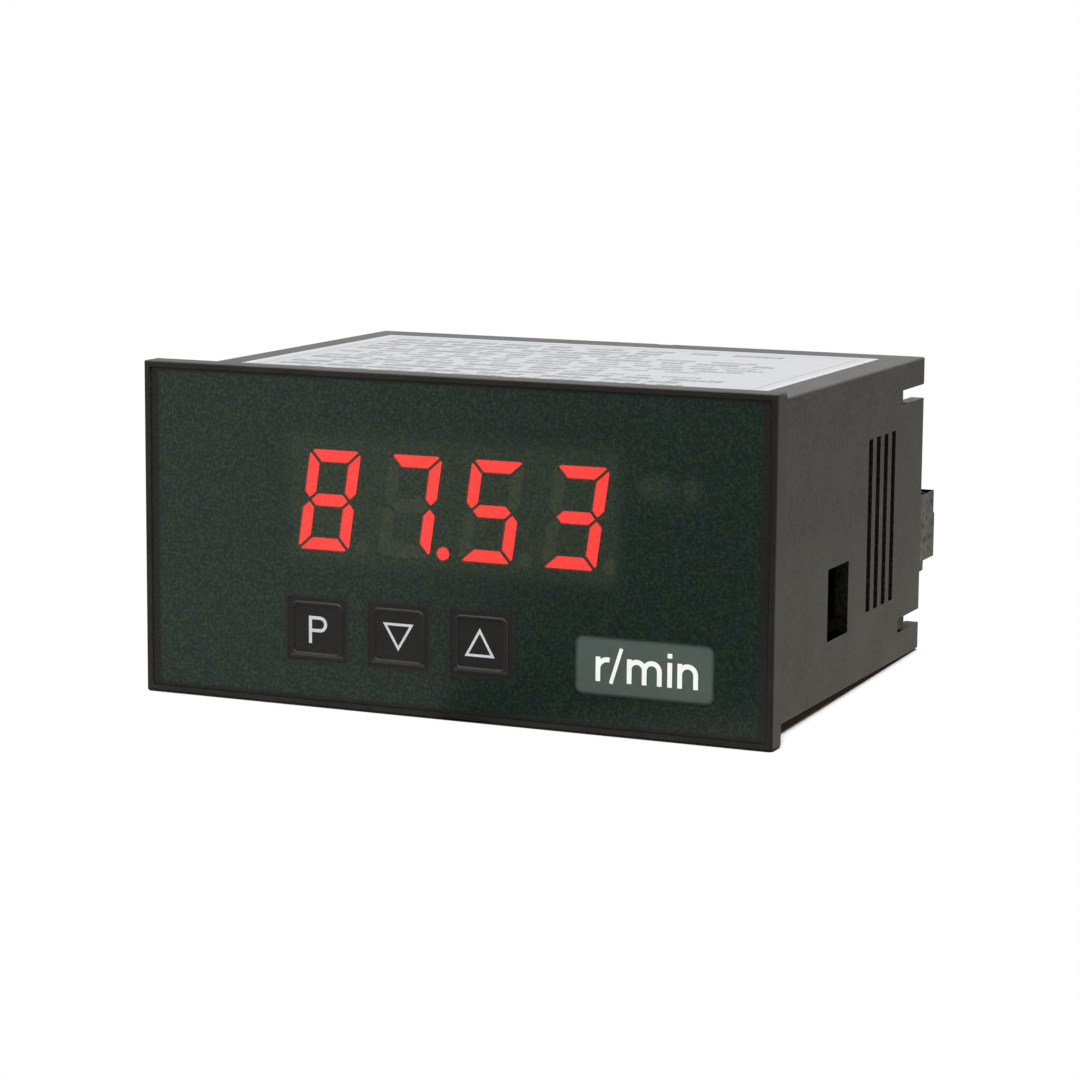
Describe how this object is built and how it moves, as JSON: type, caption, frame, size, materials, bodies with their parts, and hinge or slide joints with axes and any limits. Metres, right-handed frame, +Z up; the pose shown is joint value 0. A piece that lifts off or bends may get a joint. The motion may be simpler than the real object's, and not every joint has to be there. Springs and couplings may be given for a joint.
{
  "type": "digital panel meter",
  "caption": "Digital panel meter: flanged box case with a tinted front film, lit seven-segment digits, three keys, a unit window and plug-in screw terminals behind.",
  "frame": {"origin": "centre of the panel cut-out, in the front surface of the panel, which is the rear face of the seal behind the front frame", "axes": "+X to the right seen from the front, +Y into the panel towards the terminals, +Z up"},
  "size_m": [0.096, 0.0887, 0.048],
  "materials": {
    "case_plastic": "moulded polycarbonate, warm black, fine satin grain",
    "seal_rubber": "closed-cell EPDM, matt black",
    "tinted_film": "polyester film, dark green tint with fine speckle, semi-gloss",
    "strip_film": "grey-green printed strip with pale letters",
    "label_paper": "silver-grey adhesive label, satin, faint grey print",
    "circuit_board": "glass-epoxy laminate, olive, semi-gloss lacquer",
    "display_case": "dark grey moulded display housing",
    "segment_on": "lit red segment, glowing",
    "segment_off": "unlit milky segment",
    "lamp_lens": "unlit clear-grey lamp",
    "key_film": "embossed black key pad, fine matt, pale legend",
    "plunger_plastic": "grey moulded plunger",
    "chip_plastic": "black moulding compound",
    "pin_metal": "tinned brass",
    "core_steel": "varnished transformer laminations",
    "coil_tape": "amber insulating tape over the winding",
    "relay_case": "blue moulded relay case",
    "capacitor_sleeve": "shrunk dark sleeve",
    "can_metal": "nickel-plated can",
    "varistor_coat": "dipped blue coating",
    "socket_plastic": "dark grey polyamide",
    "plug_plastic": "dark grey polyamide, satin",
    "screw_steel": "zinc-plated slotted screw heads",
    "clamp_metal": "nickel-plated brass clamp"
  },
  "bodies": {
    "case": {"housing": "case_plastic", "panel_gasket": "seal_rubber", "front_film": "tinted_film", "unit_strip": "strip_film", "top_label": "label_paper", "display_board": "circuit_board", "digit_module_1": "display_case", "digit_module_2": "display_case", "digit_module_3": "display_case", "digit_module_4": "display_case", "segments_lit": "segment_on", "segments_unlit": "segment_off", "status_lamp_1": "lamp_lens", "status_lamp_2": "lamp_lens", "switch_p": "chip_plastic", "switch_down": "chip_plastic", "switch_up": "chip_plastic", "main_board": "circuit_board", "board_link": "chip_plastic", "board_link_pins": "pin_metal", "transformer_core": "core_steel", "transformer_coil": "coil_tape", "relay_1": "relay_case", "relay_2": "relay_case", "smoothing_capacitor": "capacitor_sleeve", "output_capacitor": "capacitor_sleeve", "rectifier": "chip_plastic", "regulator": "chip_plastic", "controller_chip": "chip_plastic", "converter_chip": "chip_plastic", "crystal": "can_metal", "varistor": "varistor_coat", "rear_cover": "case_plastic", "socket_supply": "socket_plastic", "socket_input": "socket_plastic", "socket_relay": "socket_plastic", "socket_pins": "pin_metal"},
    "p_key": {"key_p": "key_film", "plunger_p": "plunger_plastic"},
    "down_key": {"key_down": "key_film", "plunger_down": "plunger_plastic"},
    "up_key": {"key_up": "key_film", "plunger_up": "plunger_plastic"},
    "supply_plug": {"plug_supply": "plug_plastic", "screws_supply": "screw_steel", "clamps_supply": "clamp_metal"},
    "input_plug": {"plug_input": "plug_plastic", "screws_input": "screw_steel", "clamps_input": "clamp_metal"},
    "relay_plug": {"plug_relay": "plug_plastic", "screws_relay": "screw_steel", "clamps_relay": "clamp_metal"}
  },
  "joints": [
    {"name": "p_key_press", "type": "slide", "parent": "case", "child": "p_key", "axis": [0, 1, 0], "range_m": [0, 0.0005], "stiffness_N_per_m": 600},
    {"name": "down_key_press", "type": "slide", "parent": "case", "child": "down_key", "axis": [0, 1, 0], "range_m": [0, 0.0005], "stiffness_N_per_m": 600},
    {"name": "up_key_press", "type": "slide", "parent": "case", "child": "up_key", "axis": [0, 1, 0], "range_m": [0, 0.0005], "stiffness_N_per_m": 600},
    {"name": "supply_plug_pull", "type": "slide", "parent": "case", "child": "supply_plug", "axis": [0, 1, 0], "range_m": [0, 0.012]},
    {"name": "input_plug_pull", "type": "slide", "parent": "case", "child": "input_plug", "axis": [0, 1, 0], "range_m": [0, 0.012]},
    {"name": "relay_plug_pull", "type": "slide", "parent": "case", "child": "relay_plug", "axis": [0, 1, 0], "range_m": [0, 0.012]}
  ]
}
